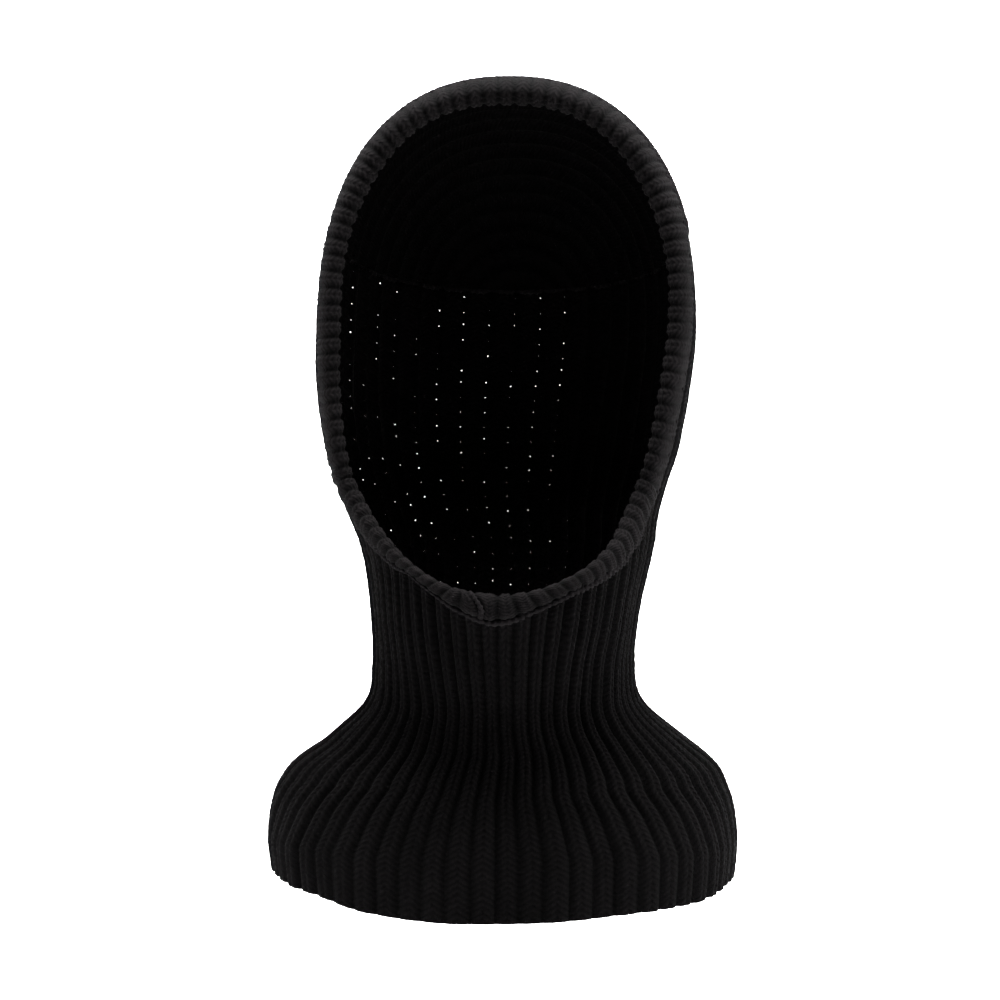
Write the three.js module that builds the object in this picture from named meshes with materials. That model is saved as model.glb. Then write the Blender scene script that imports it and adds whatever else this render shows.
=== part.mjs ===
// Knitted balaclava, the heavy ribbed kind with a wide face opening and a bib.
// Millimetres, +Z up, the wearer faces -Y. The origin is where the wearer's
// crown touches the inside of the hood.
//
// The garment is three knitted panels, a folded band round the face opening
// and the yarns that join them. Every piece lies on one form, the outside of
// the knit: a point of the form has an angle round the head (0 at the front,
// a quarter turn at the wearer's side that is on +X) and a height.
import * as THREE from 'three';

const DEGREE = Math.PI / 180;

// ---- Driving dimensions, mm ----------------------------------------------

const knit = 5;                 // thickness of the ribbed fabric
const yarn = 2.4;               // diameter of a seam yarn
const clearance = 0.5;          // left between pieces that touch
const roundness = 2.3;          // exponent of the form's sections, 2 is an ellipse

// Outer half width and depths of the form at named heights.
const widest = { z: -106, halfWidth: 85, front: 100, back: 100 };
const cheeks = { z: -160, halfWidth: 79.5, front: 98, back: 92 };
const jaw = { z: -195, halfWidth: 68.5, front: 96, back: 78 };
const underLip = { z: -220, halfWidth: 62.5, front: 94, back: 70 };
const chin = { z: -240, halfWidth: 59.5, front: 92, back: 65 };
const throat = { z: -258, halfWidth: 58.5, front: 79, back: 62 };
const collar = { z: -275, halfWidth: 61.8, front: 68, back: 63 };
const slope = { z: -290, halfWidth: 78.4, front: 67, back: 70 };
const shoulders = { z: -305, halfWidth: 97, front: 71, back: 76 };
const bib = { z: -332, halfWidth: 104.5, front: 77, back: 81 };
const hem = { z: -362, halfWidth: 102, front: 80, back: 82 };
const hemRise = 10;             // how much higher the hem is at the sides

// Face opening: a vertical cut at the cheeks that curls forward at the chin.
const cheekLine = 56;           // rim of the opening, forward of the ears
const chinLine = -219.5;        // lowest point of the rim
const curlHeight = 44.5;        // how far above that the rim starts to curl forward
const rimCurl = { setIn: 1.2, end: 0.7 };   // exponents of the curl: a U at the rim,
const outerCurl = { setIn: 2.2, end: 2 };   // nearly a V at the band's outer edge
const bandWidth = 19;
const bandThickness = 9.5;
const joinAngle = 187;          // the band's own join, degrees round from the top

const sideSeamAngle = 96;       // degrees round from the front
const crownSeamMiddle = -65;    // height of the crown seam over the ears
const crownSeamRise = 17;       // how much it rises to the front and falls behind

// ---- The form --------------------------------------------------------------

const levels = [hem, bib, shoulders, slope, collar, throat, chin, underLip, jaw, cheeks, widest];
const profile = new THREE.CubicInterpolant(
  levels.map((level) => level.z),
  levels.flatMap((level) => [level.halfWidth, level.front, level.back]),
  3,
  new Float64Array(3),
);
profile.settings = {
  endingStart: THREE.ZeroCurvatureEnding,
  endingEnd: THREE.ZeroSlopeEnding,
};
const domeHeight = knit - widest.z;

const mix = THREE.MathUtils.lerp;
const power = (value, exponent) => Math.sign(value) * Math.abs(value) ** exponent;
const complement = (share) => Math.max(0, 1 - Math.abs(share) ** roundness) ** (1 / roundness);

// Half width and depths at a height.
function section(z) {
  if (z > widest.z) {
    const scale = complement((z - widest.z) / domeHeight);
    const { halfWidth, front, back } = widest;
    return { halfWidth: halfWidth * scale, front: front * scale, back: back * scale };
  }
  const [halfWidth, front, back] = profile.evaluate(z);
  return { halfWidth, front, back };
}

// Distance from the middle to the edge of a section at an angle in radians.
function reachOf({ halfWidth, front, back }, angle) {
  const depth = Math.cos(angle) > 0 ? front : back;
  const across = Math.abs(Math.sin(angle) / halfWidth) ** roundness;
  const along = Math.abs(Math.cos(angle) / depth) ** roundness;
  return (across + along) ** (-1 / roundness);
}

// A point of the form at an angle and a height.
function form(angle, z) {
  const reach = reachOf(section(z), angle);
  return new THREE.Vector3(reach * Math.sin(angle), -reach * Math.cos(angle), z);
}

// A point of the dome: rise is 0 at the widest height and 1 at the crown.
function dome(angle, rise) {
  const reach = reachOf(widest, angle) * (1 - rise);
  const z = widest.z + domeHeight * complement(1 - rise);
  return new THREE.Vector3(reach * Math.sin(angle), -reach * Math.cos(angle), z);
}

// Outward normal of a surface given by two numbers.
function normalOf(surface, u, v) {
  const step = 1e-3;
  const along = surface(u + step, v).sub(surface(u - step, v));
  const up = surface(u, v + step).sub(surface(u, v - step));
  return along.cross(up).normalize();
}

// A point off the form: height is out of the surface, negative is into the knit.
function onForm(angle, z, height) {
  return form(angle, z).addScaledVector(normalOf(form, angle, z), height);
}

// The angle that lies a distance further round than the given one.
function furtherRound(angle, z, distance) {
  const step = 1e-3;
  const speed = form(angle + step, z).distanceTo(form(angle - step, z)) / (2 * step);
  return angle + distance / speed;
}

// Height of the crown seam at an angle.
const crownSeamHeight = (angle) => crownSeamMiddle + crownSeamRise * Math.cos(angle);

// Height of the hem at an angle: it rises from the middle to the sides.
function hemHeight(angle) {
  const aside = (reachOf(hem, angle) * Math.sin(angle)) / hem.halfWidth;
  return hem.z + hemRise * Math.abs(aside) ** 2.4;
}

// ---- The rim of the face opening --------------------------------------------

// Forward distance of a line that runs round the opening, a distance outside its rim.
function edgeDepth(z, distance) {
  const bottom = chinLine - distance;
  const cheek = cheekLine - distance;
  const across = distance / bandWidth;
  const setIn = mix(rimCurl.setIn, outerCurl.setIn, across);
  const end = mix(rimCurl.end, outerCurl.end, across);
  const curlStart = chinLine + curlHeight;
  const down = Math.min(1, Math.max(0, (curlStart - z) / (curlStart - bottom)));
  const curl = 1 - (1 - down ** setIn) ** end;
  return cheek + (section(bottom).front - cheek) * curl;
}

// Highest point of such a line.
function edgeTop(distance) {
  return widest.z + domeHeight * complement((cheekLine - distance) / widest.front);
}

// Angle round the head of such a line at a height, on the +X side.
function edgeAngle(z, distance) {
  const { halfWidth, front } = section(z);
  const depth = edgeDepth(z, distance);
  return Math.atan2(halfWidth * complement(depth / front), depth);
}

// A place on such a line: turn runs once round, from the top down the +X side.
function edgePlace(turn, distance) {
  const top = edgeTop(distance);
  const bottom = chinLine - distance;
  const z = (top + bottom) / 2 + ((top - bottom) / 2) * Math.cos(turn);
  return { angle: edgeAngle(z, distance) * Math.sign(Math.sin(turn)), z };
}

// The turn at which such a line passes a height, on the +X side.
function edgeTurn(z, distance) {
  const top = edgeTop(distance);
  const bottom = chinLine - distance;
  return Math.acos((z - (top + bottom) / 2) / ((top - bottom) / 2));
}

function onRim(turn, distance, height) {
  const { angle, z } = edgePlace(turn, distance);
  return onForm(angle, z, height);
}

// ---- Making pieces -----------------------------------------------------------

// Moves every point of a geometry to where place(x, y, z) says.
function bend(geometry, place) {
  const position = geometry.getAttribute('position');
  for (let i = 0; i < position.count; i += 1) {
    const point = place(position.getX(i), position.getY(i), position.getZ(i));
    position.setXYZ(i, point.x, point.y, point.z);
  }
  geometry.deleteAttribute('normal');
  geometry.deleteAttribute('uv');
  return geometry;
}

const middle = -knit / 2;       // the middle of the fabric, under the form
const halfGap = yarn / 2 + clearance;
const linkingLine = bandWidth + halfGap;
const panelLine = bandWidth + 2 * halfGap;
const sideSeam = sideSeamAngle * DEGREE;
const join = joinAngle * DEGREE;

// Where the crown seam meets the line on which the panels end at the opening.
function templeAngle() {
  let angle = 70 * DEGREE;
  for (let pass = 0; pass < 40; pass += 1) {
    angle = edgeAngle(crownSeamHeight(angle), panelLine);
  }
  return angle;
}
const temple = templeAngle();

// Front panel: bib, throat and the two cheek strips, a U round the opening.
// Across the fabric of the U, v runs from the opening to the seams and the hem;
// along it, share runs from a temple past the jaw to the middle of the chin.
function frontPanel() {
  const steps = 56;             // along each half of the U
  const jawShare = 16 / steps;   // down to here both edges go down the cheek
  const cornerShare = 36 / steps; // here the outer edge turns the hem's corner
  const templeHeight = crownSeamHeight(temple) - halfGap;
  const firstTurn = edgeTurn(templeHeight, panelLine);
  const jawTurn = edgeTurn(jaw.z, panelLine);
  const seamTop = crownSeamHeight(sideSeam) - halfGap;
  const outerEdge = (share, innerZ) => {
    if (share < jawShare) {
      return { angle: sideSeam, z: innerZ + (seamTop - templeHeight) * (1 - share / jawShare) };
    }
    const down = Math.min(1, (share - jawShare) / (cornerShare - jawShare));
    const along = Math.max(0, (share - cornerShare) / (1 - cornerShare));
    const angle = mix(sideSeam, 0, along);
    return { angle, z: mix(jaw.z, hemHeight(angle), down), along };
  };
  const cutting = (x, y, z) => {
    const side = Math.sign(x) || 1;
    const share = 1 - Math.abs(x);
    const past = Math.max(0, (share - jawShare) / (1 - jawShare)) ** 1.6;
    const cheekTurn = mix(firstTurn, jawTurn, Math.min(1, share / jawShare));
    const turn = mix(cheekTurn, Math.PI, past);
    const inner = edgePlace(turn, panelLine);
    const outer = outerEdge(share, inner.z);
    const seamEdge = furtherRound(outer.angle, outer.z, outer.along > 0 ? 0 : -halfGap);
    const angle = mix(inner.angle, seamEdge, z + 0.5);
    return onForm(angle * side, mix(inner.z, outer.z, z + 0.5), y > 0 ? 0 : -knit);
  };
  return bend(new THREE.BoxGeometry(2, 1, 1, 2 * steps, 1, 13), cutting);
}

// Back panel: from the hem over the nape to the crown seam.
function backPanel() {
  const cutting = (x, y, z) => {
    const round = mix(sideSeam, 2 * Math.PI - sideSeam, x + 0.5);
    const height = mix(hemHeight(round), crownSeamHeight(round) - halfGap, y + 0.5);
    const start = furtherRound(sideSeam, height, halfGap);
    const angle = mix(start, 2 * Math.PI - start, x + 0.5);
    return onForm(angle, height, z > 0 ? 0 : -knit);
  };
  return bend(new THREE.BoxGeometry(1, 1, 1, 28, 24, 1), cutting);
}

// Crown panel: the cap above the crown seam, open at the front to the band.
function crownPanel() {
  const frontShare = 3 / 8;     // share of the rim that follows the band
  const templeTurn = edgeTurn(crownSeamHeight(temple), panelLine);
  const rings = 6;
  const skin = (height) => Array.from({ length: rings + 1 }, (unused, ring) => (
    new THREE.Vector2(ring / rings, height)));
  const outline = [...skin(0), ...skin(1).reverse()];
  const cutting = (x, y, z) => {
    const spoke = Math.hypot(x, z);
    const turned = Math.atan2(x, z) / Math.PI;
    const round = Math.abs(turned);
    const angle = round < frontShare
      ? edgePlace(templeTurn * (round / frontShare), panelLine).angle
      : mix(temple, Math.PI, (round - frontShare) / (1 - frontShare));
    const overSeam = complement((crownSeamHeight(angle) + halfGap - widest.z) / domeHeight);
    const behindBand = (cheekLine - panelLine) / (reachOf(widest, angle) * Math.cos(angle));
    const rim = round > frontShare ? overSeam : Math.min(overSeam, behindBand);
    const signed = angle * (turned < 0 ? -1 : 1);
    const rise = 1 - rim * spoke;
    const point = dome(signed, rise);
    const normal = normalOf(dome, signed, Math.min(rise, 0.998));
    return point.addScaledVector(normal, y > 0.5 ? 0 : -knit);
  };
  return bend(new THREE.LatheGeometry(outline, 64), cutting);
}

// A length of the folded band between two turns, as a flattened tube round the
// opening; inset makes its section smaller all round.
function bandStrip(start, end, inset, steps) {
  const flatness = 0.7;
  const wrap = (x, y, z) => {
    const round = Math.hypot(x, z);
    const across = round > 0.5 ? power(x / round, flatness) : 0;
    const through = round > 0.5 ? power(z / round, flatness) : 0;
    const distance = bandWidth / 2 - (bandWidth / 2 - inset) * across;
    const height = middle + (bandThickness / 2 - inset) * through;
    return onRim(mix(start, end, y + 0.5), distance, height);
  };
  return bend(new THREE.CylinderGeometry(1, 1, 1, 12, steps), wrap);
}

// Turn round the opening that the band's join takes up, where the strip is tightest:
// measured square to the join, on both faces and from edge to edge.
function joinGapTurn() {
  const step = 1e-2;
  const slope = (turn, distance, height) => {
    const at = (a, b, c) => onRim(join + a, distance + b, height + c);
    return at(turn, turn ? 0 : step, 0).sub(at(-turn, turn ? 0 : -step, 0));
  };
  const speeds = [0.02, 0.25, 0.5, 0.75, 0.98].flatMap((share) => (
    [middle - bandThickness / 2, middle + bandThickness / 2].map((height) => {
      const distance = bandWidth * share;
      const { angle, z } = edgePlace(join, distance);
      const face = slope(0, distance, height).cross(normalOf(form, angle, z)).normalize();
      return Math.abs(slope(step, distance, height).dot(face)) / (2 * step);
    })));
  return (2 * halfGap) / Math.min(...speeds);
}

// The row of yarn that links the band to the panels, once round the opening.
function linkingSeam() {
  const radius = yarn / 2;
  const wrap = (x, y, z) => {
    const turn = Math.atan2(y, x);
    const out = (Math.hypot(x, y) - 10) * radius;
    return onRim(turn < 0 ? turn + 2 * Math.PI : turn, linkingLine - out, middle + z * radius);
  };
  return bend(new THREE.TorusGeometry(10, 1, 6, 180), wrap);
}

// A yarn along a route over the form; route(share) gives an angle and a height.
function seamYarn(route, steps) {
  const radius = yarn / 2;
  const centre = (share) => {
    const { angle, z } = route(share);
    return onForm(angle, z, middle);
  };
  const wrap = (x, y, z) => {
    const share = y + 0.5;
    const { angle, z: height } = route(share);
    const outward = normalOf(form, angle, height);
    const ahead = centre(Math.min(1, share + 1e-3)).sub(centre(Math.max(0, share - 1e-3)));
    const sideways = ahead.normalize().cross(outward);
    return centre(share)
      .addScaledVector(sideways, x * radius)
      .addScaledVector(outward, z * radius);
  };
  return bend(new THREE.CylinderGeometry(1, 1, 1, 6, steps), wrap);
}

function sideSeamYarn(side) {
  const top = crownSeamHeight(sideSeam) - halfGap;
  const bottom = hemHeight(sideSeam);
  return seamYarn((share) => ({ angle: side * sideSeam, z: mix(bottom, top, share) }), 24);
}

function crownSeamYarn() {
  const start = furtherRound(temple, crownSeamHeight(temple), clearance);
  const route = (share) => {
    const angle = mix(start, 2 * Math.PI - start, share);
    return { angle, z: crownSeamHeight(angle) };
  };
  return seamYarn(route, 44);
}

// The band goes once round and leaves a gap for its own join.
function faceBand() {
  const gap = joinGapTurn();
  return bandStrip(join + gap / 2, join + 2 * Math.PI - gap / 2, 0, 110);
}

// The band's join: a flat ladder of yarn between the two ends of the strip.
function joinSeam() {
  const turnOfYarn = joinGapTurn() * (yarn / (2 * halfGap));
  return bandStrip(join - turnOfYarn / 2, join + turnOfYarn / 2, 0.8, 1);
}

// ---- The object ----------------------------------------------------------------

const wool = { color: 0x1a191a, roughness: 0.96, metalness: 0 };
const bandWool = { color: 0x201f20, roughness: 0.96, metalness: 0 };
const seamWool = { color: 0x141314, roughness: 0.9, metalness: 0 };

const balaclava = new THREE.Group();

function add(name, geometry, look) {
  const mesh = new THREE.Mesh(geometry, new THREE.MeshStandardMaterial(look));
  mesh.name = name;
  balaclava.add(mesh);
}

add('front_panel', frontPanel(), wool);
add('back_panel', backPanel(), wool);
add('crown_panel', crownPanel(), wool);
add('face_band', faceBand(), bandWool);
add('side_seam_left', sideSeamYarn(1), seamWool);
add('side_seam_right', sideSeamYarn(-1), seamWool);
add('crown_seam', crownSeamYarn(), seamWool);
add('band_linking_seam', linkingSeam(), seamWool);
add('band_join_seam', joinSeam(), seamWool);

export default balaclava;
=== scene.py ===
"""A black ribbed balaclava with a wide face opening, worn and seen from the front."""
import math

import bpy
import numpy as np
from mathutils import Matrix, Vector


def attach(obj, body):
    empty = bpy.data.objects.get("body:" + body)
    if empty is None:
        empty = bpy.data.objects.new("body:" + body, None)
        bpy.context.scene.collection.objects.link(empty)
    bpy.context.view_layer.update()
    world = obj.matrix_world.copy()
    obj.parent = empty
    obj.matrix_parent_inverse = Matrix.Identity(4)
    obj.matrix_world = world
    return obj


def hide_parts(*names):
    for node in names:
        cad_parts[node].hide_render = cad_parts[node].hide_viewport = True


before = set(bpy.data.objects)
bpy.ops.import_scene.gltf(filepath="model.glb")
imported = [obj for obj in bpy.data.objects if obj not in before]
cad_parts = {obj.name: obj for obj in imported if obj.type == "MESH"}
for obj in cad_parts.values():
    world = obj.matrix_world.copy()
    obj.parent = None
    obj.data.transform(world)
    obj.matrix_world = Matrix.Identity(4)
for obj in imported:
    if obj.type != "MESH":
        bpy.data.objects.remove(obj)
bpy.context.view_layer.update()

MM = 0.001
SEED = 20

# ---- The form: outside of the knit, in mm, level by level below the crown ----
# height, half width, depth to the front, depth to the back
LEVELS = np.array([
    (-362, 102, 80, 82),      # hem
    (-332, 104.5, 77, 81),    # bib
    (-305, 97, 71, 76),       # shoulders
    (-290, 78.4, 67, 70),     # slope
    (-275, 61.8, 68, 63),     # collar
    (-258, 58.5, 79, 62),     # throat
    (-240, 59.5, 92, 65),     # chin
    (-220, 62.5, 94, 70),     # under the lip
    (-195, 68.5, 96, 78),     # jaw
    (-160, 79.5, 98, 92),     # cheeks
    (-106, 85, 100, 100),     # widest
])
WIDEST = LEVELS[-1]
HEM = LEVELS[0, 0]
HEM_RISE = 10.0               # how much higher the hem is at the sides
KNIT = 5.0                    # from the rib crests to the inside
DOME = KNIT - WIDEST[0]
ROUNDNESS = 2.3

CHEEK_LINE = 56.0
CHIN_LINE = -219.5
CURL_START = CHIN_LINE + 44.5
RIM_CURL = (1.2, 0.7)
OUTER_CURL = (2.2, 2.0)
BAND_WIDTH = 19.0
BAND_THICKNESS = 9.5
JOIN_TURN = math.radians(187)
SIDE_SEAM = math.radians(96)
CROWN_SEAM_MIDDLE = -65.0
CROWN_SEAM_RISE = 17.0

# ---- The view, in metres ----
LOOK_HEIGHT = -185.4 * MM
DISTANCE = 1.0
VIEW_WIDTH = 0.4512             # metres across the picture at the middle of the head
AZIMUTH = math.radians(2.5)

# ---- The knit ----
FRONT_RIBS = 32
BACK_RIBS = 22
BAND_RIB = 7.1                # pitch of the ribs round the band
BAND_INSET = 4.2              # how far the band's inner edge is set in at the bottom
FOLD_EDGE = 4.4               # from the band's edges to where its two layers meet
PANEL_CUT = BAND_WIDTH * 0.62  # distance from the rim at which the panels end
CROWN_RIB = 10.6
STITCH = 2.4                  # height of one row of stitches
WALL = 2.2                    # thickness of one layer of yarn
# A rib from its middle to the groove beside it, in ribs, and how far the knit
# is sunk there: two legs of stitches with a crease between them.
PROFILE_AT = (0.0, 0.05, 0.1, 0.17, 0.24, 0.3, 0.37, 0.44, 0.5)
PROFILE = (0.3, 0.2, 0.04, 0.0, 0.1, 0.32, 0.7, 0.93, 1.0)
WIDE_GRID = (-0.5, -0.44, -0.3, -0.19, -0.09, 0.0, 0.09, 0.19, 0.3, 0.44)
BAND_GRID = (-0.5, -0.4, -0.28, -0.17, -0.08, 0.0, 0.08, 0.17, 0.28, 0.4)

# ---- How the real one hangs, a little off true: sideways shift by height ----
LEAN_AT = (-362, -312, -301, -293, -283, -253, -231, -213, -203, -193, -177, -150,
           -132, -114, -96, -51, 5)
LEAN = (0.0, 0.1, 1.4, 2.2, 1.4, 1.2, 1.7, 2.4, 2.0, 0.4, -0.7, 0.0, 0.9, 2.3, 3.0, 3.3, 3.4)
# How far the seam under the chin is drawn up, and the hem moved, by sideways place.
CHIN_LIFT_AT = (-64, -46, -38, -30, -23, -18, -12, -2, 9, 15, 20, 31, 41, 52, 64)
CHIN_LIFT = (0.0, 4.5, 8.0, 7.3, 6.0, 4.8, 4.2, 2.8, 3.9, 4.7, 4.8, 3.9, 0.6, -1.2, 0.0)
HEM_LIFT_AT = (-100, -77, -67, -60, -40, -20, 10, 31, 50, 62, 72, 85, 100)
HEM_LIFT = (3.0, 2.8, 2.0, 1.0, 0.3, 0.0, 0.4, 0.8, 0.9, 0.5, -0.6, -2.4, -2.4)


def complement(share):
    return np.maximum(0.0, 1 - np.abs(share) ** ROUNDNESS) ** (1 / ROUNDNESS)


def smooth(low, high, x):
    t = np.clip((x - low) / (high - low), 0, 1)
    return t * t * (3 - 2 * t)


def section(z):
    """Half width, front depth and back depth at heights z."""
    z = np.asarray(z, float)
    level = LEVELS[:, 0]
    k = np.clip(np.searchsorted(level, z) - 1, 0, len(level) - 2)
    step = level[k + 1] - level[k]
    t = np.clip((z - level[k]) / step, -0.5, 1)
    values = LEVELS[:, 1:]
    slope = np.zeros_like(values)
    slope[1:-1] = (values[2:] - values[:-2]) / (level[2:] - level[:-2])[:, None]
    slope[0] = (values[1] - values[0]) / (level[1] - level[0])
    t, step = t[..., None], step[..., None]
    a, b, ma, mb = values[k], values[k + 1], slope[k] * step, slope[k + 1] * step
    low = ((2 * t - 3) * t * t + 1) * a + ((t - 2) * t + 1) * t * ma
    out = low + (3 - 2 * t) * t * t * b + (t - 1) * t * t * mb
    scale = complement((np.minimum(z, KNIT) - WIDEST[0]) / DOME)
    dome = scale[..., None] * WIDEST[1:]
    out = np.where((z > WIDEST[0])[..., None], dome, out)
    return out[..., 0], out[..., 1], out[..., 2]


def reach_of(sizes, angle):
    half_width, front, back = sizes
    depth = np.where(np.cos(angle) > 0, front, back)
    across = np.abs(np.sin(angle) / np.maximum(half_width, 1e-6)) ** ROUNDNESS
    along = np.abs(np.cos(angle) / np.maximum(depth, 1e-6)) ** ROUNDNESS
    return (across + along) ** (-1 / ROUNDNESS)


def form(angle, z):
    """Points of the form, in mm."""
    reach = reach_of(section(z), angle)
    return np.stack([reach * np.sin(angle), -reach * np.cos(angle), z + 0 * reach], -1)


def normal_of(surface, u, v, step=1e-3):
    along = surface(u + step, v) - surface(u - step, v)
    up = surface(u, v + step) - surface(u, v - step)
    out = np.cross(along, up)
    return out / np.maximum(np.linalg.norm(out, axis=-1, keepdims=True), 1e-12)


# ---- The rim of the face opening ----

def edge_depth(z, distance):
    bottom = CHIN_LINE - distance
    cheek = CHEEK_LINE - distance
    across = distance / BAND_WIDTH
    set_in, end = (a + (b - a) * across for a, b in zip(RIM_CURL, OUTER_CURL))
    down = np.clip((CURL_START - z) / (CURL_START - bottom), 0, 1)
    curl = 1 - (1 - down ** set_in) ** end
    return cheek + (section(bottom)[1] - cheek) * curl


def edge_place(turn, distance):
    """Angle and height of lines round the opening; turn 0 is the top."""
    top = WIDEST[0] + DOME * complement((CHEEK_LINE - distance) / WIDEST[2])
    bottom = CHIN_LINE - distance
    z = (top + bottom) / 2 + (top - bottom) / 2 * np.cos(turn)
    half_width, front, _ = section(z)
    depth = edge_depth(z, distance)
    angle = np.arctan2(half_width * complement(depth / front), depth)
    return angle * np.sign(np.sin(turn)), z


def on_rim(turn, distance, height):
    angle, z = edge_place(turn, distance)
    return form(angle, z) + normal_of(form, angle, z) * np.asarray(height)[..., None]


def crown_seam_height(angle):
    return CROWN_SEAM_MIDDLE + CROWN_SEAM_RISE * np.cos(angle)


def hem_height(angle):
    at_hem = reach_of(tuple(LEVELS[0, 1:]), angle)
    aside = np.abs(at_hem * np.sin(angle)) / LEVELS[0, 1]
    return HEM + HEM_RISE * aside ** 2.4


# ---- Making meshes ----

def ripples(seed, *axes, waves=7, low=0.4, high=1.6):
    """A smooth wandering value about 0, of size about 1, over the given axes."""
    rng = np.random.default_rng(SEED + seed)
    total = 0
    for _ in range(waves):
        pull = rng.uniform(low, high, len(axes)) * rng.choice([-1, 1], len(axes))
        phase = rng.uniform(0, 2 * math.pi)
        total = total + np.sin(sum(p * a for p, a in zip(pull, axes)) + phase)
    return total / math.sqrt(waves / 2)


def new_object(name, points_mm, polygons, knit=None):
    """A mesh object from points in mm and a list of index arrays, one per polygon size.
    knit gives each point's place in the knit: ribs across, stitches along."""
    used = np.unique(np.concatenate([p.ravel() for p in polygons]))
    renumber = np.full(len(points_mm), -1)
    renumber[used] = np.arange(len(used))
    points = points_mm[used] * MM
    loops = np.concatenate([renumber[p].ravel() for p in polygons])
    totals = np.concatenate([np.full(len(p), p.shape[1]) for p in polygons])
    starts = np.concatenate([[0], np.cumsum(totals)[:-1]])
    mesh = bpy.data.meshes.new(name)
    mesh.vertices.add(len(points))
    mesh.vertices.foreach_set("co", points.astype(np.float32).ravel())
    mesh.loops.add(len(loops))
    mesh.loops.foreach_set("vertex_index", loops.astype(np.int32))
    mesh.polygons.add(len(totals))
    mesh.polygons.foreach_set("loop_start", starts.astype(np.int32))
    mesh.polygons.foreach_set("loop_total", totals.astype(np.int32))
    mesh.polygons.foreach_set("use_smooth", np.full(len(totals), True))
    mesh.update(calc_edges=True)
    if knit is not None:
        places = np.concatenate([knit[p.ravel()] for p in polygons])
        mesh.uv_layers.new(name="knit").data.foreach_set("uv", places.astype(np.float32).ravel())
    obj = bpy.data.objects.new(name, mesh)
    bpy.context.scene.collection.objects.link(obj)
    return obj


def hang(points):
    """Shifts points to where the worn, slightly crooked piece has them."""
    shift = np.interp(points[..., 2], LEAN_AT, LEAN)
    lift = -1.3 * smooth(-70, 0, points[..., 2])
    x, y, z = np.moveaxis(points, -1, 0)
    under_chin = np.exp(-(((z + 243.5 - 0.0097 * x ** 2) / 11) ** 2)) * smooth(-20, -45, y)
    lift = lift + 1.14 * under_chin * np.interp(x, CHIN_LIFT_AT, CHIN_LIFT)
    near_hem = smooth(-322, -352, points[..., 2])
    lift = lift + near_hem * np.interp(points[..., 0], HEM_LIFT_AT, HEM_LIFT)
    return points + np.stack([shift, 0 * shift, lift], -1)


def shell(name, outer, inner, solid, rib, stitch):
    """A closed sheet: a fine outside, an inside of every second point, and walls
    between them wherever the fabric ends. solid says which inside cells exist."""
    rows, cols = outer.shape[:2]
    fine = np.arange(rows * cols).reshape(rows, cols)
    coarse = rows * cols + np.arange(inner.shape[0] * inner.shape[1]).reshape(inner.shape[:2])
    keep = np.kron(solid, np.ones((2, 2), bool))
    face = np.stack([fine[:-1, :-1], fine[:-1, 1:], fine[1:, 1:], fine[1:, :-1]], -1)[keep]
    back = np.stack([coarse[:-1, :-1], coarse[1:, :-1], coarse[1:, 1:], coarse[:-1, 1:]], -1)
    back = back[solid]
    j, i = np.nonzero(solid)
    edged = np.pad(solid, 1)
    a, b = 2 * j, 2 * i
    walls = []
    for gone, ring in (
        (~edged[j, i + 1], [fine[a, b + 2], fine[a, b + 1], fine[a, b],
                            coarse[j, i], coarse[j, i + 1]]),
        (~edged[j + 2, i + 1], [fine[a + 2, b], fine[a + 2, b + 1], fine[a + 2, b + 2],
                                coarse[j + 1, i + 1], coarse[j + 1, i]]),
        (~edged[j + 1, i], [fine[a, b], fine[a + 1, b], fine[a + 2, b],
                            coarse[j + 1, i], coarse[j, i]]),
        (~edged[j + 1, i + 2], [fine[a + 2, b + 2], fine[a + 1, b + 2], fine[a, b + 2],
                                coarse[j, i + 1], coarse[j + 1, i + 1]]),
    ):
        walls.append(np.stack(ring, -1)[gone])
    points = np.concatenate([outer.reshape(-1, 3), inner.reshape(-1, 3)])
    places = np.stack([rib, stitch], -1)
    places = np.concatenate([places.reshape(-1, 2), places[::2, ::2].reshape(-1, 2)])
    quads = np.concatenate([face, back])
    return new_object(name, hang(points), [quads, np.concatenate(walls)], places)


def relief(rib, stitch, depth, seed):
    """Height of the knit below its crests, in mm, at a place counted in ribs and
    stitches. A rib's middle is at a half, the groove beside it at a whole number."""
    phase = np.abs(rib - np.floor(rib) - 0.5)
    height = -depth * np.interp(phase, PROFILE_AT, PROFILE)
    rng = np.random.default_rng(SEED + seed)
    tufts = rng.normal(0, 0.09, rib.shape)
    return height + tufts * np.clip(1.3 - 2 * phase, 0, 1)


def pinch(points, inner, holes, keep):
    """Draws the edges of pinholes together to a share of their size."""
    for (j, i), share in zip(holes, keep):
        for array, rows, cols in ((points, slice(2 * j, 2 * j + 3), slice(2 * i, 2 * i + 3)),
                                  (inner, slice(j, j + 2), slice(i, i + 2))):
            patch = array[rows, cols]
            middle = patch.mean((0, 1))
            array[rows, cols] = middle + (patch - middle) * share


def rib_columns(first, last, grid):
    """Fine grid across whole ribs, in ribs, from groove to groove."""
    columns = (np.arange(first, last)[:, None] + 0.5 + np.array(grid)[None]).ravel()
    return np.append(columns, last)


# ---- Angles of ribs: arc length round each section, tabled by height ----

TABLE_Z = np.arange(HEM - 6, 4.0, 1.0)
TABLE_SHARE = np.linspace(0, 1, 161)


def share_table(start, end):
    angle = np.linspace(start, end, 241)
    points = form(angle[None, :], TABLE_Z[:, None] + 0 * angle[None, :])
    lengths = np.linalg.norm(np.diff(points, axis=1), axis=-1)
    total = np.concatenate([np.zeros((len(TABLE_Z), 1)), np.cumsum(lengths, 1)], 1)
    rows = [np.interp(TABLE_SHARE * t[-1], t, angle) for t in total]
    return np.array(rows)


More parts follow.
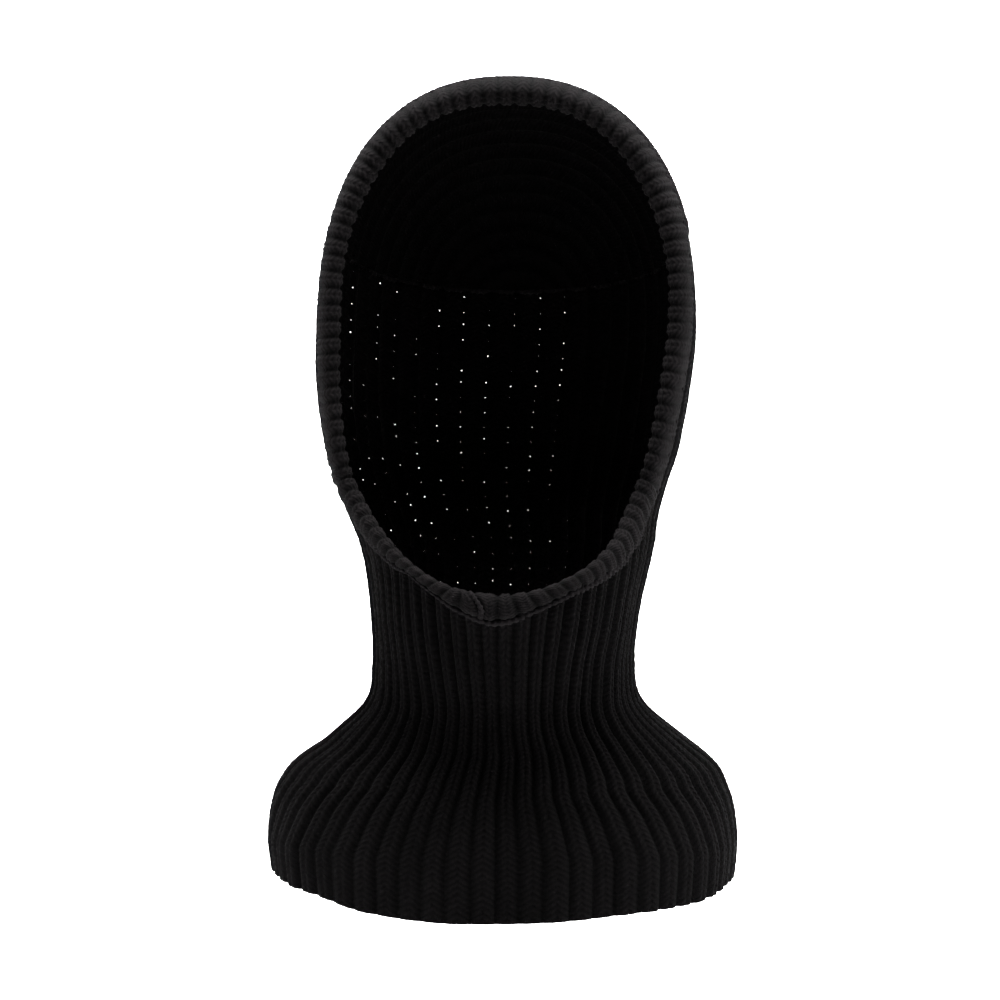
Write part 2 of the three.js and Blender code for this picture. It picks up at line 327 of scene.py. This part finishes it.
def look_up(table, z, share):
    """Bilinear reading of a table of angles at heights and shares of the arc."""
    fz = np.clip((z - TABLE_Z[0]) / (TABLE_Z[1] - TABLE_Z[0]), 0, len(TABLE_Z) - 1.001)
    fs = np.clip(share * (len(TABLE_SHARE) - 1), 0, len(TABLE_SHARE) - 1.001)
    iz, js = fz.astype(int), fs.astype(int)
    tz, ts = fz - iz, fs - js
    low = table[iz, js] * (1 - ts) + table[iz, js + 1] * ts
    high = table[iz + 1, js] * (1 - ts) + table[iz + 1, js + 1] * ts
    return low * (1 - tz) + high * tz


FRONT_TABLE = share_table(0, SIDE_SEAM)
BACK_TABLE = share_table(SIDE_SEAM, math.pi)


SPREAD_AT = (-362, -336, -318, -308, -285, -268)
SPREAD = (1.05, 1.05, 0.93, 0.84, 0.84, 0.9)


def front_share(t, z):
    """Share of the arc from the middle to the side seam for ribs counted -1 to 1:
    below the neck the middle ribs stay close and the outer ones spread, and under
    the right of the chin the ribs lean outwards as they rise."""
    spread = np.interp(z, SPREAD_AT, SPREAD)
    size = np.abs(t)
    share = spread * size + (1 - spread) * size ** 3
    aside = np.clip(t, 0, 1)
    return share + 0.07 * smooth(-264, -222, z) * (aside * (1 - aside)) * 4 * aside


def rows_by_length(angle, top, count):
    """Heights of count + 1 rows that are evenly spaced along a column."""
    z = np.linspace(HEM, top, 400)
    points = form(np.full_like(z, angle), z)
    along = np.concatenate([[0], np.cumsum(np.linalg.norm(np.diff(points, axis=0), axis=1))])
    return np.interp(np.linspace(0, along[-1], count + 1), along, z)


def drape(angle, z):
    """Small soft unevenness of the hanging cloth, in mm along the normal."""
    return 0.9 * ripples(1, angle * 2.2, z * 0.022) * smooth(-10, -60, z)


# ---- The panels ----

def front_panel():
    rows, top = 300, -60
    ribs = rib_columns(-FRONT_RIBS // 2, FRONT_RIBS // 2, WIDE_GRID)
    t = ribs / (FRONT_RIBS / 2)
    heights = rows_by_length(math.radians(62), top, rows)
    v = (heights - HEM) / (heights[-1] - HEM)
    t, v = np.meshgrid(t, v)
    z = HEM + v * (top - HEM)
    for _ in range(4):
        angle = look_up(FRONT_TABLE, z, front_share(t, z)) * np.sign(t)
        low = hem_height(angle)
        z = low + v * (crown_seam_height(angle) - 0.7 - low)
    stitch = np.linspace(0, 302 / STITCH, rows + 1)[:, None] + 0 * t
    rib = np.broadcast_to(ribs, t.shape)
    depth = 2.7 - 1.3 * smooth(-290, -340, z)
    height = relief(rib, stitch, depth, 2) + drape(angle, z)
    low = smooth(-290, -330, z)
    height = height - 0.5 + 0.7 * low + 0.45 * ripples(2, np.floor(rib) * 1.7, stitch * 0.05)
    normal = normal_of(form, angle, z)
    outer = form(angle, z) + normal * height[..., None]
    inner = (outer - normal * WALL)[::2, ::2]
    # The opening is cut under the middle of the band.
    middle_z, middle_angle = z[1::2, 1::2], np.abs(angle[1::2, 1::2])
    half_width, front, _ = section(middle_z)
    depth_line = edge_depth(middle_z, PANEL_CUT)
    rim = np.arctan2(half_width * complement(depth_line / front), depth_line)
    solid = (middle_z < CHIN_LINE - PANEL_CUT) | (middle_angle > rim)
    return shell("knit_front", outer, inner, solid, rib, stitch)


def back_panel():
    rows, top = 300, -82
    ribs = rib_columns(-BACK_RIBS // 2, BACK_RIBS // 2, WIDE_GRID)
    t = ribs / (BACK_RIBS / 2)
    heights = rows_by_length(math.pi, top, rows)
    v = (heights - HEM) / (heights[-1] - HEM)
    t, v = np.meshgrid(t, v)
    z = HEM + v * (top - HEM)
    for _ in range(4):
        angle = look_up(BACK_TABLE, z, 1 - np.abs(t))
        low = hem_height(angle)
        z = low + v * (crown_seam_height(angle) - 0.7 - low)
    angle = math.pi + (math.pi - angle) * np.sign(t)
    stitch = np.linspace(0, 285 / STITCH, rows + 1)[:, None] + 0 * t
    rib = np.broadcast_to(ribs, t.shape)
    depth = 2.7 - 1.1 * smooth(-290, -340, z)
    height = relief(rib, stitch, depth, 3) + drape(angle, z)
    height = height - 0.5 + 0.45 * ripples(3, np.floor(rib) * 1.7, stitch * 0.05)
    normal = normal_of(form, angle, z)
    outer = form(angle, z) + normal * height[..., None]
    # The inside is shifted along the view from the face opening, so that the
    # pinholes through the grooves can be seen through from there.
    sight = outer - np.array([40.0, -1000.0, LOOK_HEIGHT / MM])
    sight /= np.linalg.norm(sight, axis=-1, keepdims=True)
    facing = (normal * sight).sum(-1, keepdims=True)
    aside = (sight - normal * facing) / np.maximum(facing, 0.45)
    aside *= (smooth(1.0, 0.8, np.abs(t)) * smooth(-275, -255, z))[..., None]
    inner = (outer - (normal + aside) * WALL)[::2, ::2]
    solid = np.ones(np.array(inner.shape[:2]) - 1, bool)
    # Pinholes in the grooves, every third stitch, over the back of the head.
    per_rib = len(WIDE_GRID) // 2
    pitch = 3 * STITCH / (285 / (rows // 2))
    rng = np.random.default_rng(SEED + 40)
    holes = []
    for i in range(per_rib, solid.shape[1], per_rib):
        for j in np.arange(rng.uniform(0, 1.2), solid.shape[0] - 1, pitch).astype(int):
            x, _, height = outer[2 * j + 1, 2 * i]
            if height > -258 and -84 < x < 29 and rng.random() < 0.95:
                solid[j, i] = False
                holes.append((j, i))
    pinch(outer, inner, holes, 0.075 + 0.14 * rng.random(len(holes)) ** 1.8)
    return shell("knit_back", outer, inner, solid, rib, stitch)


def crown_point(arc, y):
    """Point of the dome: y is the plane of a rib, arc the angle over the top."""
    depth = np.where(y < 0, WIDEST[2], WIDEST[3])
    scale = complement(y / depth)
    reach = (np.abs(np.sin(arc) / WIDEST[1]) ** ROUNDNESS
             + np.abs(np.cos(arc) / DOME) ** ROUNDNESS) ** (-1 / ROUNDNESS)
    x = scale * reach * np.sin(arc)
    z = WIDEST[0] + scale * reach * np.cos(arc)
    return np.stack([x, y + 0 * x, z], -1)


def crown_limit(y):
    """Arc at which a rib of the crown comes down to the crown seam."""
    arc = np.linspace(0, math.pi / 2, 400)
    out = []
    for value in y:
        p = crown_point(arc, np.full_like(arc, value))
        angle = np.arctan2(p[:, 0], -p[:, 1])
        above = p[:, 2] - crown_seam_height(angle) - 0.7
        out.append(arc[np.argmax(above < 0)] if above.min() < 0 else arc[-1])
    return np.array(out)


def crown_panel():
    start = -(CHEEK_LINE - PANEL_CUT)
    y = np.linspace(start, WIDEST[3], 2001)
    centre = crown_point(np.zeros_like(y), y)
    high = centre[:, 2] > crown_seam_height(math.pi) + 0.2
    y, centre = y[high], centre[high]
    along = np.concatenate([[0], np.cumsum(np.linalg.norm(np.diff(centre, axis=0), axis=1))])
    ribs = int(round(along[-1] / CROWN_RIB))
    grid = rib_columns(0, ribs, WIDE_GRID)
    y = np.interp(grid * along[-1] / ribs, along, y)
    limit = crown_limit(y)
    columns = 300
    arc = limit[:, None] * np.linspace(-1, 1, columns + 1)[None, :]
    plane = y[:, None] + 0 * arc
    stitch = np.linspace(0, 260 / STITCH, columns + 1)[None, :] + 0 * arc
    rib = grid[:, None] + 0 * arc
    height = relief(rib, stitch, 2.5, 4) - 0.4
    normal = normal_of(crown_point, arc, plane)
    outer = crown_point(arc, plane) + normal * height[..., None]
    inner = (outer - normal * WALL)[::2, ::2]
    solid = np.ones(np.array(inner.shape[:2]) - 1, bool)
    rng = np.random.default_rng(SEED + 41)
    holes = []
    per_rib = len(WIDE_GRID) // 2
    for j in range(per_rib, solid.shape[0] - 1, per_rib):
        for i in range(rng.integers(2, 6), solid.shape[1] - 2, 5):
            x, y_here, _ = outer[2 * j, 2 * i + 1]
            if y_here > 35 and -62 < x < 4 and rng.random() < 0.55:
                solid[j, i] = False
                holes.append((j, i))
    pinch(outer, inner, holes, rng.uniform(0.05, 0.1, len(holes)))
    return shell("knit_crown", outer, inner, solid, rib, stitch)


# ---- The band, and the yarns ----

def turns_by_length(distance, height, count):
    """Turns round the opening, evenly spaced along a line, from the band's join."""
    turn = JOIN_TURN + np.linspace(0, 2 * math.pi, 2001)
    points = on_rim(turn, np.full_like(turn, distance), np.full_like(turn, height))
    steps = np.linalg.norm(np.diff(points, axis=0), axis=1)
    along = np.concatenate([[0], np.cumsum(steps)])
    return np.interp(np.linspace(0, along[-1], count), along, turn), along[-1]


def tube(name, rings, closed):
    """A mesh from rings of points; caps the ends unless the rings close on themselves."""
    count, sides = rings.shape[:2]
    rings = hang(rings)
    index = np.arange(count * sides).reshape(count, sides)
    nearby = np.roll(index, -1, axis=1)
    if closed:
        ahead, ahead_nearby = np.roll(index, -1, axis=0), np.roll(nearby, -1, axis=0)
        quads = np.stack([index, nearby, ahead_nearby, ahead], -1).reshape(-1, 4)
        return new_object(name, rings.reshape(-1, 3), [quads])
    quads = np.stack([index[:-1], nearby[:-1], nearby[1:], index[1:]], -1).reshape(-1, 4)
    caps = np.stack([index[0][::-1], index[-1]])
    return new_object(name, rings.reshape(-1, 3), [quads, caps])


def folded(name, rings, lining, knit):
    """A strip folded to a flat roll: its outside, the faces that meet inside the fold,
    with half as many sides, and the strip's two cut ends between them."""
    out = np.arange(rings[..., 0].size).reshape(rings.shape[:2])
    fold = out.size + np.arange(lining[..., 0].size).reshape(lining.shape[:2])
    out_near, fold_near = np.roll(out, -1, axis=1), np.roll(fold, -1, axis=1)
    skin = np.stack([out[:-1], out_near[:-1], out_near[1:], out[1:]], -1).reshape(-1, 4)
    inside = np.stack([fold[:-1], fold[1:], fold_near[1:], fold_near[:-1]], -1).reshape(-1, 4)
    ends = np.stack([out[:, ::2], out[:, 1::2], np.roll(out[:, ::2], -1, axis=1)], -1)
    ends = np.concatenate([ends[[0, -1]], np.stack([fold_near, fold], -1)[[0, -1]]], -1)
    ends[0] = ends[0, :, ::-1]
    points = np.concatenate([rings.reshape(-1, 3), lining.reshape(-1, 3)])
    return new_object(name, hang(points), [skin, inside, ends.reshape(-1, 5)], knit)


def square_turns(middle, distances):
    """Turns that lead each rib of the band square across it from its middle line."""
    centre, last, nudge = 19, 38, 0.002
    lines = np.linspace(0, BAND_WIDTH, last + 1)
    table = np.repeat(middle[None], len(lines), 0)
    height = np.full_like(middle, -KNIT / 2)
    for way in (1, -1):
        turn = middle.copy()
        for k in range(centre, last if way > 0 else 0, way):
            here = on_rim(turn, np.full_like(turn, lines[k]), height)
            ahead = on_rim(turn + nudge, np.full_like(turn, lines[k]), height) - here
            step = on_rim(turn, np.full_like(turn, lines[k + way]), height) - here
            turn = turn - nudge * (step * ahead).sum(-1) / (ahead * ahead).sum(-1)
            table[k + way] = turn
    from_join = np.minimum(middle - JOIN_TURN, JOIN_TURN + 2 * math.pi - middle)
    table = middle + (table - middle) * smooth(0, 0.15, from_join)
    k = np.clip(distances / lines[1], 0, len(lines) - 1.001)
    low = np.floor(k).astype(int)
    columns = np.arange(len(middle))[:, None]
    return table[low, columns] * (1 - k + low) + table[low + 1, columns] * (k - low)


def face_band():
    _, length = turns_by_length(BAND_WIDTH / 2, -KNIT / 2, 3)
    ribs = int(round(length / BAND_RIB))
    grid = rib_columns(0, ribs, BAND_GRID)
    turns, _ = turns_by_length(BAND_WIDTH / 2, -KNIT / 2, 4001)
    gap = 0.6 / length
    middle = np.interp(gap + grid / ribs * (1 - 2 * gap), np.linspace(0, 1, 4001), turns)
    from_bottom = np.abs(middle % (2 * math.pi) - math.pi)[:, None]
    corner = np.exp(-(((from_bottom - 0.52) / 0.3) ** 2))
    top = smooth(1.75, 2.4, from_bottom)
    inset = BAND_INSET * smooth(1.2, 0.7, from_bottom)
    sides = 72
    around = np.linspace(0, 2 * math.pi, sides, endpoint=False)
    across = np.sign(np.cos(around)) * np.abs(np.cos(around)) ** 0.75
    through = np.sign(np.sin(around)) * np.abs(np.sin(around)) ** 0.75
    distance = inset + (BAND_WIDTH - inset) * (1 - across) / 2
    turn = square_turns(middle, distance)
    lift = through * (1 - 0.38 * corner + 0.24 * top) + 0.22 * corner - 0.4 * top
    lift = -KNIT / 2 + BAND_THICKNESS / 2 * lift
    line = BAND_WIDTH / 2 * (1 - across)
    run = np.cumsum(np.hypot(np.diff(line, prepend=line[-1]),
                             BAND_THICKNESS / 2 * np.diff(through, prepend=through[-1])))
    rib = np.broadcast_to(grid[:, None], turn.shape)
    stitch = np.broadcast_to(run / STITCH, turn.shape)
    dip = relief(rib, stitch, 1.25, 5) - 0.3
    half = (BAND_WIDTH - inset) / 2
    centre = on_rim(turn, (distance + inset + half) / 2, np.full_like(turn, -KNIT / 2))
    skin = on_rim(turn, distance, lift)
    outward = skin - centre
    outward /= np.linalg.norm(outward, axis=-1, keepdims=True)
    puff = 0.2 * ripples(6, rib * 0.35, stitch * 0.1)
    rings = skin + outward * (dip + puff)[..., None]
    # The two layers of the strip meet in the middle of the roll.
    at_fold = (inset + half - across * (half - FOLD_EDGE))[::10]
    fold_lift = -KNIT / 2 + BAND_THICKNESS / 2 * (0.22 * corner - 0.4 * top) + 0.15 * through
    lining = on_rim(square_turns(middle[::10], at_fold), at_fold, fold_lift[::10])
    knit = np.stack([rib, stitch], -1)[:, ::-1]
    knit = np.concatenate([knit.reshape(-1, 2), knit[::10, ::2].reshape(-1, 2)])
    return folded("knit_band", rings[:, ::-1], lining[:, ::-1][:, ::2], knit)


def chain(name, centre, outward, radius, pitch, closed, sides=10, step=0.45):
    """A row of looped yarn along a line of points, seen as fat slanting plaits."""
    if closed:
        centre = np.concatenate([centre, centre[:1]])
        outward = np.concatenate([outward, outward[:1]])
    along = np.concatenate([[0], np.cumsum(np.linalg.norm(np.diff(centre, axis=0), axis=1))])
    count = int(along[-1] / step)
    where = np.linspace(0, along[-1], count, endpoint=not closed)
    line = np.stack([np.interp(where, along, centre[:, k]) for k in range(3)], -1)
    out = np.stack([np.interp(where, along, outward[:, k]) for k in range(3)], -1)
    if closed:
        ahead = np.roll(line, -1, axis=0) - np.roll(line, 1, axis=0)
    else:
        ahead = np.gradient(line, axis=0)
    ahead /= np.linalg.norm(ahead, axis=-1, keepdims=True)
    out -= ahead * (out * ahead).sum(-1, keepdims=True)
    out /= np.linalg.norm(out, axis=-1, keepdims=True)
    side = np.cross(ahead, out)
    loops = max(1, round(along[-1] / pitch))
    phase = where / along[-1] * loops
    around = np.linspace(0, 2 * math.pi, sides, endpoint=False)
    plait = np.cos(2 * math.pi * (phase[:, None] + 0.16 * np.abs(np.cos(around)) * 2))
    size = radius * (1 + 0.24 * plait + 0.08 * ripples(7, phase * 0.9)[:, None])
    rings = (line[:, None] + side[:, None] * (np.cos(around) * size)[..., None]
             + out[:, None] * (np.sin(around) * size * 0.85)[..., None])
    return tube(name, rings[:, ::-1], closed)


def linking_seam():
    turn, _ = turns_by_length(BAND_WIDTH, -1.6, 1500)
    turn = turn[:-1]
    line = on_rim(turn, np.full_like(turn, BAND_WIDTH + 0.9), np.full_like(turn, -1.2))
    angle, z = edge_place(turn, BAND_WIDTH + 0.9)
    return chain("yarn_linking_seam", line, normal_of(form, angle, z), 1.45, 2.9, True)


def side_seam(side, name):
    z = np.linspace(hem_height(SIDE_SEAM) + 0.5, crown_seam_height(SIDE_SEAM) - 1.5, 600)
    angle = np.full_like(z, side * SIDE_SEAM)
    normal = normal_of(form, angle, z)
    line = form(angle, z) + normal * (drape(angle, z) - 2.9)[:, None]
    return chain(name, line, normal, 1.25, STITCH, False)


def crown_seam():
    start = math.radians(67.5)
    angle = np.linspace(start, 2 * math.pi - start, 1200)
    z = crown_seam_height(angle)
    normal = normal_of(form, angle, z)
    line = form(angle, z) + normal * (-1.7)
    return chain("yarn_crown_seam", line, normal, 1.35, 2.9, False)


def join_seam():
    distance = np.linspace(BAND_INSET + 0.8, BAND_WIDTH - 0.8, 60)
    turn = np.full_like(distance, JOIN_TURN)
    across = (distance - BAND_INSET) / (BAND_WIDTH - BAND_INSET) * 2 - 1
    bulge = np.sqrt(np.maximum(0.05, 1 - np.abs(across) ** 2.6))
    lift = -KNIT / 2 + BAND_THICKNESS / 2 * bulge - 0.9
    line = on_rim(turn, distance, lift)
    angle, z = edge_place(turn, distance)
    return chain("yarn_band_join", line, normal_of(form, angle, z), 1.0, 2.2, False)


# ---- Materials ----

class Graph:
    """Short names for building a material's nodes."""

    def __init__(self, name):
        self.material = bpy.data.materials.new(name)
        self.material.use_nodes = True
        self.nodes = self.material.node_tree.nodes
        self.links = self.material.node_tree.links
        self.shader = self.nodes["Principled BSDF"]

    def put(self, socket, value):
        if isinstance(value, bpy.types.NodeSocket):
            self.links.new(value, socket)
        else:
            socket.default_value = value

    def math(self, operation, *values):
        node = self.nodes.new("ShaderNodeMath")
        node.operation = operation
        for socket, value in zip(node.inputs, values):
            self.put(socket, value)
        return node.outputs[0]

    def noise(self, vector, scale, detail, rough):
        node = self.nodes.new("ShaderNodeTexNoise")
        node.inputs["Scale"].default_value = scale
        node.inputs["Detail"].default_value = detail
        node.inputs["Roughness"].default_value = rough
        self.links.new(vector, node.inputs["Vector"])
        return node.outputs["Fac"]

    def ramp(self, value, stops):
        node = self.nodes.new("ShaderNodeValToRGB")
        elements = node.color_ramp.elements
        while len(elements) < len(stops):
            elements.new(0.5)
        for element, (position, colour) in zip(elements, stops):
            element.position = position
            element.color = (*colour, 1)
        self.links.new(value, node.inputs["Fac"])
        return node.outputs["Color"]


def wool(name, dark, light, sheen, knitted=True, groove_shade=0.25):
    """Matt fuzzy wool in near-black tones. Knitted wool shows its stitches, two slanting legs
    side by side in every rib; a yarn shows only its fibres.
    The colour of knitted wool carries painted shade: it follows the stitch relief, darker in the
    creases between the legs, and darker still in the grooves between the ribs."""
    g = Graph(name)
    g.shader.inputs["Roughness"].default_value = 0.95
    g.shader.inputs["Specular IOR Level"].default_value = 0.018
    g.shader.inputs["Sheen Weight"].default_value = sheen
    g.shader.inputs["Sheen Roughness"].default_value = 0.5
    g.shader.inputs["Sheen Tint"].default_value = (0.95, 0.9, 0.92, 1)
    place = g.nodes.new("ShaderNodeTexCoord").outputs["Object"]
    fibres = g.noise(place, 1700, 5.0, 0.75)
    tufts = g.noise(place, 560, 3.0, 0.7)
    patches = g.noise(place, 45, 2.0, 0.5)
    height = g.math("MULTIPLY_ADD", fibres, 0.7, g.math("MULTIPLY", tufts, 0.4))
    if knitted:
        uv = g.nodes.new("ShaderNodeUVMap")
        uv.uv_map = "knit"
        split = g.nodes.new("ShaderNodeSeparateXYZ")
        g.links.new(uv.outputs["UV"], split.inputs[0])
        rib, stitch = split.outputs[0], split.outputs[1]
        phase = g.math("ABSOLUTE", g.math("SUBTRACT", g.math("FRACT", rib), 0.5))
        wobble = g.math("MULTIPLY", g.math("SUBTRACT", tufts, 0.5), 0.7)
        slant = g.math("MULTIPLY_ADD", phase, 2.6, g.math("ADD", stitch, wobble))
        leg = g.math("SINE", g.math("MULTIPLY", slant, 2 * math.pi))
        leg = g.math("MULTIPLY_ADD", leg, 0.5, 0.5)
        leg = g.math("POWER", leg, 0.6)
        height = g.math("MULTIPLY_ADD", leg, 0.34, height)
        # Painted shade: the grooves between ribs are darkened in the base colour.
        groove = g.math("MULTIPLY", g.math("MAXIMUM", g.math("SUBTRACT", phase, 0.22), 0.0), 3.6)
        shade = g.math("MULTIPLY", groove, -groove_shade)
    # The colour follows the bump height. Fibres, tufts and patches give a random tone, and the
    # creases between stitch legs are painted shade.
    tone = g.math("MULTIPLY_ADD", g.math("SUBTRACT", patches, 0.5), 0.35, height)
    if knitted:
        tone = g.math("ADD", tone, shade)
    low, high = (0.42, 1.05) if knitted else (0.32, 0.72)
    tone = g.math("DIVIDE", g.math("SUBTRACT", tone, low), high - low)
    middle = tuple((a + b) * 0.33 for a, b in zip(dark, light))
    colour = g.ramp(tone, ((0.0, dark), (0.55, middle), (1.0, light)))
    g.links.new(colour, g.shader.inputs["Base Color"])
    bump = g.nodes.new("ShaderNodeBump")
    bump.inputs["Strength"].default_value = 0.9
    bump.inputs["Distance"].default_value = 0.7 * MM
    g.links.new(height, bump.inputs["Height"])
    g.links.new(bump.outputs["Normal"], g.shader.inputs["Normal"])
    return g.material


def plain(name, colour, glow):
    material = bpy.data.materials.new(name)
    material.use_nodes = True
    shader = material.node_tree.nodes["Principled BSDF"]
    shader.inputs["Base Color"].default_value = (*colour, 1)
    shader.inputs["Roughness"].default_value = 0.9
    shader.inputs["Emission Color"].default_value = (1, 1, 1, 1)
    shader.inputs["Emission Strength"].default_value = glow
    return material


# ---- Camera, light and stage ----

def make_camera():
    data = bpy.data.cameras.new("camera")
    data.sensor_width = 36
    data.lens = 36 * DISTANCE / VIEW_WIDTH
    camera = bpy.data.objects.new("camera", data)
    bpy.context.scene.collection.objects.link(camera)
    aim = Vector((-1.2 * MM, 0, LOOK_HEIGHT))
    back = Vector((math.sin(AZIMUTH), -math.cos(AZIMUTH), 0))
    camera.location = aim + back * DISTANCE
    camera.rotation_mode = "QUATERNION"
    camera.rotation_quaternion = (-back).to_track_quat("-Z", "Y")
    bpy.context.scene.camera = camera


def area_light(name, place, aim, size, power):
    data = bpy.data.lights.new(name, "AREA")
    data.shape = "RECTANGLE"
    data.size, data.size_y = size
    data.energy = power
    light = bpy.data.objects.new(name, data)
    bpy.context.scene.collection.objects.link(light)
    light.location = place
    light.rotation_mode = "QUATERNION"
    light.rotation_quaternion = (Vector(aim) - Vector(place)).to_track_quat("-Z", "Y")


def make_lights():
    middle = (0, 0, -0.16)
    area_light("key_right", (1.1, -0.25, 0.15), middle, (0.5, 1.2), 40)
    area_light("fill_left", (-1.15, -0.2, 0.1), middle, (0.5, 1.2), 17)
    area_light("top", (0.0, -0.22, 1.2), middle, (0.9, 0.6), 190)
    area_light("backdrop", (0, 0.6, 0.85), (0, 1.5, -0.35), (1.8, 0.4), 60)
    world = bpy.data.worlds.new("world")
    bpy.context.scene.world = world
    world.use_nodes = True
    background = world.node_tree.nodes["Background"]
    background.inputs["Color"].default_value = (1, 1, 1, 1)
    background.inputs["Strength"].default_value = 0.12
    bpy.context.scene.view_settings.view_transform = "Standard"


def make_stage():
    """A floor that sweeps up behind into a wall."""
    floor_z, wall_y, radius, half = -0.62, 1.6, 0.6, 3.0
    profile = [(-3.0, floor_z)]
    for k in range(13):
        bend = math.pi / 2 * k / 12
        profile.append((wall_y - radius + radius * math.sin(bend),
                        floor_z + radius - radius * math.cos(bend)))
    profile.append((wall_y, 2.6))
    points = np.array([(x, y, z) for y, z in profile for x in (-half, half)]) / MM
    n = len(profile)
    quads = np.array([(2 * k, 2 * k + 1, 2 * k + 3, 2 * k + 2) for k in range(n - 1)])
    sweep = new_object("sweep", points, [quads])
    sweep.data.materials.append(plain("pale_sweep", (0.9, 0.9, 0.9), 0.3))


make_camera()
make_lights()
make_stage()

rib_wool = wool("rib_wool", (0.0001, 0.0001, 0.0001), (0.0016, 0.0014, 0.0015), 0.0018)
# The band's grooves get a deeper painted shade than the ribs'.
band_wool = wool("band_wool", (0.0003, 0.0003, 0.0003), (0.0049, 0.0043, 0.0045), 0.005,
                 groove_shade=0.4)
seam_wool = wool("seam_wool", (0.001, 0.0009, 0.001), (0.0062, 0.0055, 0.0058), 0.0065, False)

PIECES = (
    (front_panel, "front_panel", "rib_knit", rib_wool),
    (back_panel, "back_panel", "rib_knit", rib_wool),
    (crown_panel, "crown_panel", "rib_knit", rib_wool),
    (face_band, "face_band", "band_knit", band_wool),
    (lambda: side_seam(1, "yarn_side_seam_left"), "side_seam_left", "seam_yarn", seam_wool),
    (lambda: side_seam(-1, "yarn_side_seam_right"), "side_seam_right", "seam_yarn", seam_wool),
    (crown_seam, "crown_seam", "seam_yarn", seam_wool),
    (linking_seam, "band_linking_seam", "seam_yarn", seam_wool),
    (join_seam, "band_join_seam", "seam_yarn", seam_wool),
)
for make, node, slot, material in PIECES:
    piece = make()
    piece.data.materials.append(material)
    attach(piece, "root")
    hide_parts(node)
